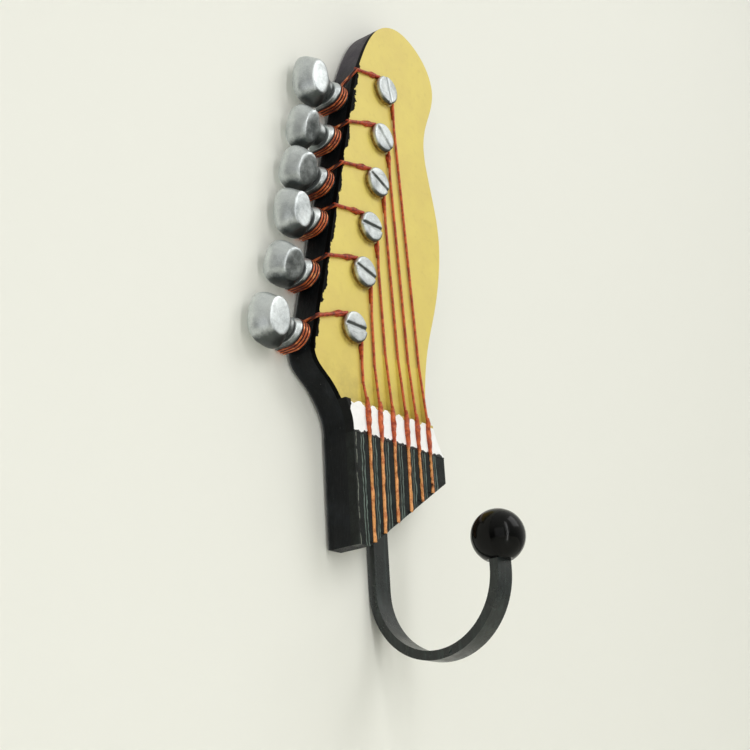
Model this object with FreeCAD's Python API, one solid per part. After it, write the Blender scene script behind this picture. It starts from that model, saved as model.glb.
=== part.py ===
import FreeCAD, Part
import math
import os
from FreeCAD import Vector

# Wall-hung coat hook in the shape of an electric guitar's headstock.
#
# Frame, in millimetres: X runs across the neck, Y runs into the wall, Z is up.
# The wall is the plane Y = 0 and the front of the ornament faces -Y. The origin
# is the middle of the hanger plate's round hole, on the wall plane.
# Outline points are written as (u, v): u across from the neck's centre line,
# v up from the nut's upper edge. Tuner places are written as (s, w): s along
# the straight tuner edge from its foot, w square out of that edge.

# --- Casting, face, nut and fretboard --------------------------------------
HANGER_ABOVE_NUT = 102.5   # hanger hole above the nut's upper edge
BODY_DEPTH = 12.0          # black casting, from the wall to the face plate
BODY_BACK_ROUND = 2.0      # rounding of the casting's back edge
FACE_THICK = 2.0           # face plate
NECK_WIDTH = 57.0
NUT_WIDTH = 12.5
NUT_PROUD = 2.1            # nut above the face
BOARD_PROUD = 1.9          # fretboard above the face
CUT_CORNER = (-22.0, -55.3)   # (u, v) where the neck's sloping cut starts
CUT_TREBLE_END = -22.8     # v where the cut leaves the treble side
TUNER_EDGE_FOOT = (-45.0, 24.5)   # (u, v)
TUNER_EDGE_LENGTH = 128.3
TUNER_EDGE_LEAN = 14.9     # degrees from the neck's line, leaning to treble
TUNER_EDGE_BELOW_FOOT = 6.0   # straight stretch that carries on past the foot
BASS_FLARE = ((-44.8, 12.0), (-38.0, 6.3), (-32.4, 0.0), (-29.2, -6.0))
CREST = ((-7.0, 159.5), (-1.0, 170.5), (6.5, 179.0), (20.0, 184.0), (30.5, 181.2),
         (38.5, 175.0), (43.0, 165.0), (40.5, 152.5), (35.8, 142.0), (33.2, 131.0))
TREBLE_SIDE = ((33.8, 122.0), (37.2, 106.0), (39.4, 90.0), (37.6, 72.0), (32.5, 53.5),
               (25.5, 34.5), (21.6, 16.0), (21.2, 4.0), (24.2, -5.5))

# --- Strings and the ridges they lie on -------------------------------------
STRING_R = 0.55
STRING_AT_NUT = (18.5, 11.2, 4.4, -4.1, -12.1, -19.6)    # u; laid by hand, so uneven
STRING_AT_CUT = (19.2, 11.9, 3.5, -5.2, -13.5, -20.2)
STRING_BED = 0.3           # how deep a string beds into its ridge
STRING_LEAVES_POST = 4.0   # across from the post's centre, to treble
STRING_TOP_OVER_FACE = 2.8    # over the nut and fretboard
STRING_DIP = 1.4           # how much lower a string runs along the head
DIP_FROM_POST = 12.0       # where the dip starts, down from the post
DIP_TO_NUT = 24.0          # and where it ends, up from the nut
RIDGE_WIDTH = 1.4

# --- String posts -----------------------------------------------------------
POST_R = 6.3
POST_HEIGHT = 3.0
POST_RIM_ROUND = 0.5
POST_SLOT_WIDTH = 1.3
POST_SLOT_DEPTH = 0.8
POST_SPIGOT_R = 2.5
POST_SPIGOT_LENGTH = 5.5
POSTS = ((132.2, -18.0), (106.8, -19.6), (83.5, -20.5), (60.2, -20.1), (37.8, -20.0), (11.0, -18.9))
POST_SLOT_ANGLES = (-78.0, -45.0, -25.0, 0.0, -15.0, 0.0)   # degrees, seen from the front

# --- Tuner pegs ---------------------------------------------------------------
PEG_SEATS = (115.2, 93.2, 70.3, 50.8, 25.6, -2.6)    # s of each peg's axis at the side
PEG_LEANS = (8.5, 0.0, 6.5, 1.0, 4.0, 10.5)   # degrees each peg points up from square across the neck
PEG_AXIS_OFF_WALL = 6.9
PEG_SHAFT_R = 2.5
PEG_SHAFT_IN_BODY = 12.0
PEG_SHAFT_IN_BUTTON = 8.0
PEG_BORE_CLEARANCE = 0.05
PEG_BORE_END_GAP = 0.8
PEG_NECK_R = 4.7           # front of a collar's neck; its back is square
COLLAR_R = 6.1
COLLAR_BACK = 6.3          # from the axis to the collar's flat back
COLLAR_RIM = 0.6           # straight rim of the collar
COLLAR_WAIST_R = 5.2
COLLAR_LENGTH = 2.8        # rim and taper together
COLLAR_GAP = 0.3           # between a collar and the button that turns on it
STEM_R = 5.0               # stem between a collar and its button
# Sections of a button: place through its thickness, shares of its length and of
# its width, and squareness (2 is an ellipse, more is boxier).
BUTTON_SECTIONS = ((-5.8, 0.40, 0.35, 2.1), (-4.6, 0.72, 0.74, 2.5), (-2.0, 1.0, 1.0, 2.9),
                   (1.5, 0.96, 0.90, 2.6), (5.6, 0.80, 0.62, 2.1))
BUTTON_LONG = (21.6, 18.2, 18.0, 19.2, 17.2, 20.4)      # along the headstock's edge
BUTTON_ACROSS = (16.6, 13.6, 16.2, 16.0, 17.0, 17.6)    # along the peg's axis
BUTTON_MIDDLE = (18.0, 18.4, 16.4, 15.8, 15.2, 17.6)    # from the side, along the peg's axis
PEG_TURNS = (0.0, -18.0, -18.0, -4.0, -18.0, 0.0)   # degrees each button stands turned at rest
PEG_GROOVE_R = 1.6
PEG_GROOVE_WIDTH = 2.6
PEG_GROOVE_FROM_END = 1.2
PIN_R = 1.0
PIN_GAP = 0.25             # pin clear of the groove's floor

# --- Wire windings and leads ------------------------------------------------
WIRE_R = 0.75
WINDING_TURNS = 3
WINDING_PITCH = 1.45
WINDING_START = 1.6        # first turn clear of the casting's side
WINDING_GAP = 0.1          # inside of the turns clear of the collar's neck
WIRE_OFF_SURFACE = 0.03
LEAD_CROSSINGS = (129.5, 100.9, 79.3, 57.6, 33.3, 5.3)   # s where each lead goes over the face edge
LEAD_MEETS_POST = 122.0    # degrees round the post, seen from the front

# --- Hook ----------------------------------------------------------------------
STRAP_WIDTH = 9.0
STRAP_THICK = 3.5
STRAP_TOP = 40.0           # v of the strap's top end
STRAP_BEND_CENTRE = -67.5  # v of the J's centre
HOOK_REACH = 57.1          # wall to the ball's centre
STRAP_SLOT_GAP = 0.1
BALL_R = 10.0
BALL_CENTRE = -56.0        # v
BALL_SPIGOT_R = 1.7
BALL_SPIGOT_LENGTH = 8.0
BALL_FLAT_R = 4.95         # flat under the ball that the strap's end meets
HOOK_SCREWS = (30.0, -30.0)   # v of the two screws
HOOK_SCREW_R = 1.6
HOOK_SCREW_HEAD_R = 3.4
HOOK_SCREW_LENGTH = 9.5

# --- Hanger plate ------------------------------------------------------------------
HANGER_WIDTH = 17.0
HANGER_BELOW = 14.0        # plate's lower end, below the round hole
HANGER_ABOVE = 22.0
HANGER_THICK = 1.5
HANGER_HOLE_R = 4.5
HANGER_SLOT_R = 2.2
HANGER_SLOT_RISE = 7.0
HANGER_POCKET_DEPTH = 4.0  # room behind the plate for the wall screw's head
HANGER_POCKET_ROOM = 1.3   # that pocket, wider than the round hole
HANGER_GAP = 0.1
HANGER_SCREWS = (-10.6, 18.4)   # z of the two screws
HANGER_SCREW_R = 1.25
HANGER_SCREW_HEAD_R = 2.5
HANGER_SCREW_LENGTH = 6.5
CROSS_RECESS = (0.8, 1.0)  # width and depth of a screw's cross recess
SCREW_CLEARANCE = 0.15     # screw in the plate that it holds

# --- Worked out ------------------------------------------------------------------------
NUT_Z = -HANGER_ABOVE_NUT
FACE_Y = -(BODY_DEPTH + FACE_THICK)
HALF_NECK = NECK_WIDTH / 2
LEAN = math.radians(TUNER_EDGE_LEAN)
ALONG = Vector(math.sin(LEAN), 0, math.cos(LEAN))
OUTWARD = Vector(-math.cos(LEAN), 0, math.sin(LEAN))
FRONT = Vector(0, -1, 0)
WINDING_R = PEG_NECK_R + WINDING_GAP + WIRE_R
WINDING_LENGTH = (WINDING_TURNS - 1) * WINDING_PITCH + 2 * WIRE_R
NECK_LENGTH = WINDING_START + WINDING_LENGTH + 2 * WIRE_OFF_SURFACE
COLLAR_END = NECK_LENGTH + COLLAR_LENGTH
COUNT = len(PEG_SEATS)
SECTION_POINTS = 16        # points that shape a button's section


def at(u, v, y):
    """Point from outline coordinates and Y."""
    return Vector(u, y, NUT_Z + v)


def edge_point(s, w, y):
    """Point from tuner edge coordinates and Y."""
    foot = at(TUNER_EDGE_FOOT[0], TUNER_EDGE_FOOT[1], y)
    return foot + ALONG * s + OUTWARD * w


def post_centre(index, y):
    s, w = POSTS[index]
    return edge_point(s, w, y)


def peg_skew(index):
    """Angle between a peg's axis and square out of the tuner edge."""
    return LEAN - math.radians(PEG_LEANS[index])


def peg_frame(index):
    """Placement whose x runs out along the peg's axis, y to the front and z up."""
    lean = math.radians(PEG_LEANS[index])
    out = Vector(-math.cos(lean), 0, math.sin(lean))
    up = Vector(math.sin(lean), 0, math.cos(lean))
    return FreeCAD.Placement(edge_point(PEG_SEATS[index], 0, -PEG_AXIS_OFF_WALL),
                             FreeCAD.Rotation(out, FRONT, up))


def axis_point(index, w):
    """Point of a peg's axis that lies w out from the tuner side."""
    s = PEG_SEATS[index] - w * math.tan(peg_skew(index))
    return edge_point(s, w, -PEG_AXIS_OFF_WALL)


def box(x0, x1, y0, y1, z0, z1):
    return Part.makeBox(x1 - x0, y1 - y0, z1 - z0, Vector(x0, y0, z0))


def spline(points):
    curve = Part.BSplineCurve()
    curve.interpolate(points)
    return curve.toShape()


def outline(y):
    """Whole headstock and neck stub as one closed wire in the plane at y."""
    top = edge_point(TUNER_EDGE_LENGTH, 0, y)
    foot = edge_point(-TUNER_EDGE_BELOW_FOOT, 0, y)
    neck_bass = at(-HALF_NECK, -NUT_WIDTH, y)
    neck_treble = at(HALF_NECK, -NUT_WIDTH, y)
    bass_end = at(-HALF_NECK, CUT_CORNER[1], y)
    cut_start = at(CUT_CORNER[0], CUT_CORNER[1], y)
    cut_end = at(HALF_NECK, CUT_TREBLE_END, y)
    crest = [top] + [at(u, v, y) for u, v in CREST + TREBLE_SIDE] + [neck_treble]
    flare = [neck_bass] + [at(u, v, y) for u, v in reversed(BASS_FLARE)] + [foot]
    straight = (neck_treble, cut_end, cut_start, bass_end, neck_bass)
    edges = [spline(crest)]
    edges += [Part.makeLine(a, b) for a, b in zip(straight, straight[1:])]
    edges += [spline(flare), Part.makeLine(foot, top)]
    return Part.Wire(Part.__sortEdges__(edges))


def slab(y_back, y_front):
    """The outline as a plate between two Y values."""
    return Part.Face(outline(y_back)).extrude(Vector(0, y_front - y_back, 0))


def between(v_low, v_high):
    """Box that keeps a stretch of the neck's length."""
    far = 400.0
    return box(-far, far, -far, far, NUT_Z + v_low, NUT_Z + v_high)


def rod(points, radius):
    """Round rod along straight runs, with a ball at each inner corner."""
    parts = []
    for a, b in zip(points, points[1:]):
        parts.append(Part.makeCylinder(radius, (b - a).Length, a, b - a))
    for corner in points[1:-1]:
        parts.append(Part.makeSphere(radius, corner))
    solid = parts[0].multiFuse(parts[1:]) if len(parts) > 1 else parts[0]
    return solid.removeSplitter()


# --- Strings ---------------------------------------------------------------------------

def cut_v(u):
    """Height of the neck's sloping cut at u."""
    slope = (CUT_TREBLE_END - CUT_CORNER[1]) / (HALF_NECK - CUT_CORNER[0])
    return CUT_CORNER[1] + max(0.0, u - CUT_CORNER[0]) * slope


def string_path(index):
    """Centre line of a string, from its post to the neck's cut."""
    high = FACE_Y - STRING_TOP_OVER_FACE + STRING_R
    low = high + STRING_DIP
    u = STRING_AT_NUT[index]
    start = post_centre(index, (high + low) / 2)
    drop = math.sqrt((POST_R + WIRE_OFF_SURFACE) ** 2 - STRING_LEAVES_POST ** 2)
    start = start + Vector(STRING_LEAVES_POST, 0, -drop)
    nut = at(u, 0, high)
    run = (nut - start).Length
    share = min(DIP_FROM_POST, run / 3) / run
    dip = start + (nut - start) * share
    rise = nut + (start - nut) * (min(DIP_TO_NUT, run / 3) / run)
    end_u = STRING_AT_CUT[index]
    end_v = cut_v(end_u) + STRING_R
    return [start, Vector(dip.x, low, dip.z), Vector(rise.x, low, rise.z), nut, at(end_u, end_v, high)]


def post_room(index):
    """Room round a post's head that wire stays out of."""
    return Part.makeCylinder(POST_R + WIRE_OFF_SURFACE, 2 * POST_HEIGHT, post_centre(index, FACE_Y), FRONT)


def string(index):
    return rod(string_path(index), STRING_R).cut(post_room(index))


def head_ridge(index):
    """Low ridge on the face plate, where a string climbs to the nut."""
    rise, nut = string_path(index)[2:4]
    lift = Vector(0, STRING_R - STRING_BED, 0)
    root_y = FACE_Y + FACE_THICK / 2
    across = Vector(nut.z - rise.z, 0, rise.x - nut.x).normalize() * RIDGE_WIDTH
    ring = [rise + lift, nut + lift, Vector(nut.x, root_y, nut.z), Vector(rise.x, root_y, rise.z)]
    ring = [p - across * 0.5 for p in ring]
    return Part.Face(Part.makePolygon(ring + ring[:1])).extrude(across)


# --- Pegs --------------------------------------------------------------------------------

def arch(index, w, radius, back):
    """Arch round a peg's axis, w out from the side: half round in front, square at the back."""
    centre = axis_point(index, w)
    high = centre + ALONG * radius
    low = centre - ALONG * radius
    sink = Vector(0, back, 0)
    edges = [Part.Arc(high, centre + FRONT * radius, low).toShape()]
    corners = (low, low + sink, high + sink, high)
    edges += [Part.makeLine(a, b) for a, b in zip(corners, corners[1:])]
    return Part.Wire(edges)


def peg_collar(index):
    """Fixed collar that a peg turns in: a neck for the wire, then a rim that tapers to the waist."""
    neck = Part.makeLoft([arch(index, 0, PEG_NECK_R, PEG_NECK_R),
                          arch(index, NECK_LENGTH, PEG_NECK_R, PEG_NECK_R)], True, True)
    rim = NECK_LENGTH + COLLAR_RIM
    past = COLLAR_END + COLLAR_R
    shrink = (COLLAR_R - COLLAR_WAIST_R) / (COLLAR_LENGTH - COLLAR_RIM)
    slim = shrink * (past - rim)
    flange = Part.makeLoft([arch(index, NECK_LENGTH, COLLAR_R, COLLAR_BACK),
                            arch(index, rim, COLLAR_R, COLLAR_BACK)], True, True)
    taper = Part.makeLoft([arch(index, rim, COLLAR_R, COLLAR_BACK),
                           arch(index, past, COLLAR_R - slim, COLLAR_BACK - slim)], True, True)
    solid = neck.multiFuse([flange, taper])
    beyond = box(COLLAR_END, COLLAR_END + 20, -20, 20, -20, 20)
    beyond.Placement = peg_frame(index)
    return solid.cut(beyond).cut(peg_bore(index)).removeSplitter()


def button_section(index, place, long_share, across_share, squareness):
    """Closed section of a button, square to its thickness."""
    half_long = BUTTON_LONG[index] * long_share / 2
    half_across = BUTTON_ACROSS[index] * across_share / 2
    points = []
    for step in range(SECTION_POINTS):
        angle = 2 * math.pi * step / SECTION_POINTS
        x, z = math.cos(angle), math.sin(angle)
        size = (abs(x) ** squareness + abs(z) ** squareness) ** (-1 / squareness)
        points.append(Vector(BUTTON_MIDDLE[index] + half_across * size * x, place, half_long * size * z))
    curve = Part.BSplineCurve()
    curve.interpolate(Points=points, PeriodicFlag=True)
    return Part.Wire(curve.toShape())


def peg_button(index):
    """Oval button on its stem, flat in front and domed at the back, standing at its rest turn."""
    sections = [button_section(index, *section) for section in BUTTON_SECTIONS]
    button = Part.makeLoft(sections, True, False)
    start = COLLAR_END + COLLAR_GAP
    inside = BUTTON_MIDDLE[index] - start
    stem = Part.makeCylinder(STEM_R, inside, Vector(start, 0, 0), Vector(1, 0, 0))
    beyond = box(0, start, -50, 50, -50, 50)
    socket = Part.makeCylinder(PEG_SHAFT_R, PEG_SHAFT_IN_BUTTON, Vector(start - 1, 0, 0), Vector(1, 0, 0))
    solid = stem.fuse(button).removeSplitter().cut(beyond).cut(socket)
    solid.rotate(Vector(), Vector(1, 0, 0), PEG_TURNS[index])
    solid.Placement = peg_frame(index).multiply(solid.Placement)
    return solid


def peg_groove_start():
    return -PEG_SHAFT_IN_BODY + PEG_GROOVE_FROM_END


def peg_shaft(index):
    end = COLLAR_END + COLLAR_GAP - 1 + PEG_SHAFT_IN_BUTTON
    shaft = Part.makeCylinder(PEG_SHAFT_R, PEG_SHAFT_IN_BODY + end,
                              Vector(-PEG_SHAFT_IN_BODY, 0, 0), Vector(1, 0, 0))
    start = Vector(peg_groove_start(), 0, 0)
    sleeve = Part.makeCylinder(PEG_SHAFT_R + 1, PEG_GROOVE_WIDTH, start, Vector(1, 0, 0))
    core = Part.makeCylinder(PEG_GROOVE_R, PEG_GROOVE_WIDTH, start, Vector(1, 0, 0))
    shaft = shaft.cut(sleeve.cut(core))
    shaft.Placement = peg_frame(index)
    return shaft


def retaining_pin(index):
    """Dowel pressed in from the back; it crosses the peg's groove."""
    middle = peg_groove_start() + PEG_GROOVE_WIDTH / 2
    side = PEG_GROOVE_R + PIN_GAP + PIN_R
    foot = peg_frame(index).multVec(Vector(middle, -PEG_AXIS_OFF_WALL, -side))
    return Part.makeCylinder(PIN_R, PEG_AXIS_OFF_WALL + PEG_SHAFT_R, foot, FRONT)


def peg_bore(index):
    bore = Part.makeCylinder(PEG_SHAFT_R + PEG_BORE_CLEARANCE,
                             PEG_SHAFT_IN_BODY + PEG_BORE_END_GAP + COLLAR_END + 5,
                             Vector(-PEG_SHAFT_IN_BODY - PEG_BORE_END_GAP, 0, 0), Vector(1, 0, 0))
    bore.Placement = peg_frame(index)
    return bore


def wire_turn(index, w):
    """One turn of wire round a collar's neck, w out from the side."""
    centre = axis_point(index, w)
    high = centre + ALONG * WINDING_R
    low = centre - ALONG * WINDING_R
    sink = Vector(0, WINDING_R, 0)
    section = Part.Face(Part.Wire(Part.makeCircle(WIRE_R, high, FRONT)))
    front = section.revolve(centre, ALONG.cross(FRONT), 180)
    return front.fuse(rod([low, low + sink, high + sink, high], WIRE_R))


def string_lead(index):
    """Turns of wire round a collar's neck and the lead over the face edge to the post."""
    first = WINDING_START + WIRE_R + WIRE_OFF_SURFACE
    turns = [wire_turn(index, first + turn * WINDING_PITCH) for turn in range(WINDING_TURNS)]
    clear = WIRE_R + WIRE_OFF_SURFACE
    leave = axis_point(index, first) + ALONG * WINDING_R
    corner = edge_point(LEAD_CROSSINGS[index], clear, FACE_Y - clear)
    angle = math.radians(LEAD_MEETS_POST)
    reach = POST_R + WIRE_OFF_SURFACE
    touch = Vector(math.cos(angle) * reach, 0, math.sin(angle) * reach)
    lead = rod([leave, corner, post_centre(index, FACE_Y - clear) + touch], WIRE_R)
    return turns[0].multiFuse(turns[1:] + [lead]).cut(post_room(index)).removeSplitter()


# --- Posts ----------------------------------------------------------------------------------

def string_post(index):
    base = post_centre(index, FACE_Y)
    head = Part.makeCylinder(POST_R, POST_HEIGHT, base, FRONT)
    rim = [e for e in head.Edges if len(e.Vertexes) == 1 and abs(e.CenterOfMass.y - base.y + POST_HEIGHT) < 0.01]
    head = head.makeFillet(POST_RIM_ROUND, rim)
    slot = box(-2 * POST_R, 2 * POST_R, -POST_SLOT_DEPTH, 1, -POST_SLOT_WIDTH / 2, POST_SLOT_WIDTH / 2)
    slot.translate(Vector(0, -1 + POST_SLOT_DEPTH, 0))
    slot.rotate(Vector(), Vector(0, -1, 0), POST_SLOT_ANGLES[index])
    slot.translate(base + FRONT * POST_HEIGHT)
    spigot = Part.makeCylinder(POST_SPIGOT_R, POST_SPIGOT_LENGTH, base, Vector(0, 1, 0))
    return head.cut(slot).fuse(spigot).removeSplitter()


def post_hole(index):
    base = post_centre(index, FACE_Y - 1)
    return Part.makeCylinder(POST_SPIGOT_R, POST_SPIGOT_LENGTH + 1, base, Vector(0, 1, 0))


# --- Screws, hanger and hook -----------------------------------------------------------------

def screw(u, z, radius, head_radius, length):
    """Countersunk screw driven in from the wall side, its head flush with the back."""
    top = Vector(u, 0, z)
    head = Part.makeCone(head_radius, radius, head_radius - radius, top, FRONT)
    shank = Part.makeCylinder(radius, length - radius, top, FRONT)
    tip = Part.makeCone(radius, 0.3, radius, top + FRONT * (length - radius), FRONT)
    solid = head.multiFuse([shank, tip]).removeSplitter()
    width, depth = CROSS_RECESS
    arm = head_radius * 0.6
    for a, b in ((arm, width / 2), (width / 2, arm)):
        solid = solid.cut(box(u - a, u + a, -depth, 1, z - b, z + b))
    return solid


def screw_clearance(u, z, radius, head_radius):
    """Countersunk hole for such a screw in the piece that it holds."""
    wide = head_radius + SCREW_CLEARANCE
    narrow = radius + SCREW_CLEARANCE
    sink = Part.makeCone(wide, narrow, wide - narrow, Vector(u, 0, z), FRONT)
    return sink.fuse(Part.makeCylinder(narrow, BODY_DEPTH, Vector(u, 0, z), FRONT))


def pilot(u, z, radius, length):
    tip = Part.makeCone(radius, 0.3, radius, Vector(u, -(length - radius), z), FRONT)
    return Part.makeCylinder(radius, length - radius, Vector(u, 0, z), FRONT).fuse(tip)


def hook_screw_places():
    return [NUT_Z + v for v in HOOK_SCREWS]


def hook_screws():
    return [screw(0, z, HOOK_SCREW_R, HOOK_SCREW_HEAD_R, HOOK_SCREW_LENGTH) for z in hook_screw_places()]


def hanger_screws():
    return [screw(0, z, HANGER_SCREW_R, HANGER_SCREW_HEAD_R, HANGER_SCREW_LENGTH) for z in HANGER_SCREWS]


def slot_shape(radius, rise, y_back, depth):
    """Upright slot with round ends, its lower end centred on the origin."""
    low = Part.makeCylinder(radius, depth, Vector(0, y_back, 0), FRONT)
    high = Part.makeCylinder(radius, depth, Vector(0, y_back, rise), FRONT)
    middle = box(-radius, radius, y_back - depth, y_back, 0, rise)
    return low.multiFuse([high, middle]).removeSplitter()


def rounded_plate(half, low, high, depth, corner):
    plate = box(-half, half, -depth, 0, low, high)
    upright = [e for e in plate.Edges if e.BoundBox.XLength + e.BoundBox.ZLength < 0.01]
    return plate.makeFillet(corner, upright)


def hanger_plate():
    plate = rounded_plate(HANGER_WIDTH / 2, -HANGER_BELOW, HANGER_ABOVE, HANGER_THICK, 3.0)
    hole = Part.makeCylinder(HANGER_HOLE_R, 3 * HANGER_THICK, Vector(0, HANGER_THICK, 0), FRONT)
    plate = plate.cut(hole)
    plate = plate.cut(slot_shape(HANGER_SLOT_R, HANGER_SLOT_RISE, 1, 1 + HANGER_THICK + 1))
    for z in HANGER_SCREWS:
        plate = plate.cut(screw_clearance(0, z, HANGER_SCREW_R, HANGER_SCREW_HEAD_R))
    return plate


def strap_bend_radius():
    return (HOOK_REACH - STRAP_THICK / 2) / 2


def hook_strap():
    """Flat steel strap: up the back of the neck, a J below it and a spigot for the ball."""
    centre_z = NUT_Z + STRAP_BEND_CENTRE
    ball_z = NUT_Z + BALL_CENTRE
    radius = strap_bend_radius()
    middle_y = -STRAP_THICK / 2 - radius
    half = STRAP_WIDTH / 2
    top_z = NUT_Z + STRAP_TOP
    upright = box(-half, half, -STRAP_THICK, 0, centre_z, top_z - half)
    end = Part.makeCylinder(half, STRAP_THICK, Vector(0, 0, top_z - half), FRONT)
    outer = Part.makeCylinder(radius + STRAP_THICK / 2, STRAP_WIDTH, Vector(-half, middle_y, centre_z),
                              Vector(1, 0, 0))
    inner = Part.makeCylinder(radius - STRAP_THICK / 2, STRAP_WIDTH, Vector(-half, middle_y, centre_z),
                              Vector(1, 0, 0))
    lower = box(-half, half, -2 * HOOK_REACH, HOOK_REACH, centre_z - 2 * radius, centre_z)
    bend = outer.cut(inner).common(lower)
    flat_z = ball_z - math.sqrt(BALL_R ** 2 - BALL_FLAT_R ** 2)
    arm = box(-half, half, -HOOK_REACH - STRAP_THICK / 2, -HOOK_REACH + STRAP_THICK / 2, centre_z, flat_z)
    spigot = Part.makeCylinder(BALL_SPIGOT_R, BALL_SPIGOT_LENGTH, Vector(0, -HOOK_REACH, flat_z))
    strap = upright.multiFuse([end, bend, arm, spigot]).removeSplitter()
    for z in hook_screw_places():
        strap = strap.cut(screw_clearance(0, z, HOOK_SCREW_R, HOOK_SCREW_HEAD_R))
    return strap


def hook_ball():
    """Ball turned from its half profile, flat underneath where the strap's end meets it."""
    drop = math.sqrt(BALL_R ** 2 - BALL_FLAT_R ** 2)
    pole = Vector(0, 0, BALL_R)
    rim = Vector(BALL_FLAT_R, 0, -drop)
    foot = Vector(BALL_SPIGOT_R, 0, -drop)
    roof = Vector(BALL_SPIGOT_R, 0, BALL_SPIGOT_LENGTH - drop)
    top = Vector(0, 0, BALL_SPIGOT_LENGTH - drop)
    side = Part.Arc(pole, Vector(BALL_R, 0, 0), rim).toShape()
    lines = [Part.makeLine(a, b) for a, b in ((rim, foot), (foot, roof), (roof, top), (top, pole))]
    half = Part.Face(Part.Wire([side] + lines))
    ball = half.revolve(Vector(), Vector(0, 0, 1), 360)
    ball.translate(Vector(0, -HOOK_REACH, NUT_Z + BALL_CENTRE))
    return ball


def strap_groove():
    """Groove in the casting's back that the strap lies in."""
    half = STRAP_WIDTH / 2 + STRAP_SLOT_GAP
    top_z = NUT_Z + STRAP_TOP - STRAP_WIDTH / 2
    groove = box(-half, half, -STRAP_THICK, 1, NUT_Z + CUT_CORNER[1] - NECK_WIDTH, top_z)
    return groove.fuse(Part.makeCylinder(half, STRAP_THICK + 1, Vector(0, 1, top_z), FRONT))


# --- Casting and plates -------------------------------------------------------------------------

def headstock_body():
    body = slab(0, -BODY_DEPTH)
    back = [e for e in body.Edges if abs(e.BoundBox.YMin) < 0.01 and e.BoundBox.YLength < 0.01]
    body = body.makeFillet(BODY_BACK_ROUND, back)
    cuts = [peg_bore(i) for i in range(COUNT)]
    cuts += [post_hole(i) for i in range(COUNT)]
    cuts += [retaining_pin(i) for i in range(COUNT)]
    cuts += [pilot(0, z, HOOK_SCREW_R, HOOK_SCREW_LENGTH) for z in hook_screw_places()]
    cuts += [pilot(0, z, HANGER_SCREW_R, HANGER_SCREW_LENGTH) for z in HANGER_SCREWS]
    cuts.append(strap_groove())
    cuts.append(rounded_plate(HANGER_WIDTH / 2 + HANGER_GAP, -HANGER_BELOW - HANGER_GAP,
                              HANGER_ABOVE + HANGER_GAP, HANGER_THICK, 3.0))
    pocket_r = HANGER_HOLE_R + HANGER_POCKET_ROOM
    cuts.append(slot_shape(pocket_r, HANGER_SLOT_RISE, 0, HANGER_THICK + HANGER_POCKET_DEPTH))
    for cut in cuts:
        body = body.cut(cut)
    return body


def headstock_face(strings):
    plate = slab(-BODY_DEPTH, FACE_Y).common(between(0, 400))
    for index in range(COUNT):
        plate = plate.fuse(head_ridge(index).common(between(0, 400)))
    for index, cord in enumerate(strings):
        plate = plate.cut(post_hole(index)).cut(cord)
    return plate.removeSplitter()


def fretboard(strings):
    plate = slab(-BODY_DEPTH, FACE_Y - BOARD_PROUD).common(between(-400, -NUT_WIDTH))
    for cord in strings:
        plate = plate.cut(cord)
    return plate


def nut(strings):
    block = slab(-BODY_DEPTH, FACE_Y - NUT_PROUD).common(between(-NUT_WIDTH, 0))
    for cord in strings:
        block = block.cut(cord)
    return block


def write(name, solids):
    shape = solids[0] if len(solids) == 1 else Part.makeCompound(solids)
    shape.exportStep("parts/" + name + ".step")
    count = len(shape.Solids)
    print("%-22s solids %d  volume %9.1f  valid %s" % (name, count, shape.Volume, shape.isValid()))


def main():
    os.makedirs("parts", exist_ok=True)
    strings = [string(i) for i in range(COUNT)]
    write("headstock_body", [headstock_body()])
    write("headstock_face", [headstock_face(strings)])
    write("fretboard", [fretboard(strings)])
    write("nut", [nut(strings)])
    for index in range(COUNT):
        number = str(index + 1)
        write("string_" + number, [strings[index]])
        write("string_post_" + number, [string_post(index)])
        write("string_lead_" + number, [string_lead(index)])
        write("peg_collar_" + number, [peg_collar(index)])
        write("peg_button_" + number, [peg_button(index)])
        write("peg_shaft_" + number, [peg_shaft(index)])
    write("peg_retaining_pins", [retaining_pin(i) for i in range(COUNT)])
    write("hook_strap", [hook_strap()])
    write("hook_ball", [hook_ball()])
    write("hook_screws", hook_screws())
    write("hanger_plate", [hanger_plate()])
    write("hanger_screws", hanger_screws())


main()
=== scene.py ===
import math

import bmesh
import bpy
from bpy.props import FloatProperty, FloatVectorProperty, PointerProperty
from mathutils import Matrix, Vector


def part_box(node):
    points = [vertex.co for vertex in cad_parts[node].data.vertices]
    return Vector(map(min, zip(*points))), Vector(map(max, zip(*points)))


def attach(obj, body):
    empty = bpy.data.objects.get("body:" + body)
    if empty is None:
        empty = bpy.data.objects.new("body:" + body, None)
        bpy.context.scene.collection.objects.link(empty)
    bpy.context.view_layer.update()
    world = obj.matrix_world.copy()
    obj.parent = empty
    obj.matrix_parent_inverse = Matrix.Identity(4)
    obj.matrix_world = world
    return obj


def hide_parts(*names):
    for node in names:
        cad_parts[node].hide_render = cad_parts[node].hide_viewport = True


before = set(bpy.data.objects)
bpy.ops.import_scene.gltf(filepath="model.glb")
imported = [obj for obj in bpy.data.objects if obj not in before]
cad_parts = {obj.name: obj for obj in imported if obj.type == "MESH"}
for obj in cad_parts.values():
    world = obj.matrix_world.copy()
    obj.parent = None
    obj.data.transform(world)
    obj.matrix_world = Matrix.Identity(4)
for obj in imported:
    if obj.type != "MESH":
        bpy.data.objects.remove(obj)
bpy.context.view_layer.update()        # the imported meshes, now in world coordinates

bl_info = {
    "name": "Headstock Coat Hook",
    "version": (1, 0, 0),
    "blender": (4, 5, 0),
    "location": "3D View > Sidebar > Coat Hook",
    "description": "Paints and finishes a wall coat hook shaped like a guitar headstock",
    "category": "Object",
}

MM = 0.001
BODY = "headstock"
STRINGS = tuple(range(1, 7))


# --- Places taken from the frame ---------------------------------------------

def node_points(name):
    return [v.co.copy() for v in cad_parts[name].data.vertices]


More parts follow.
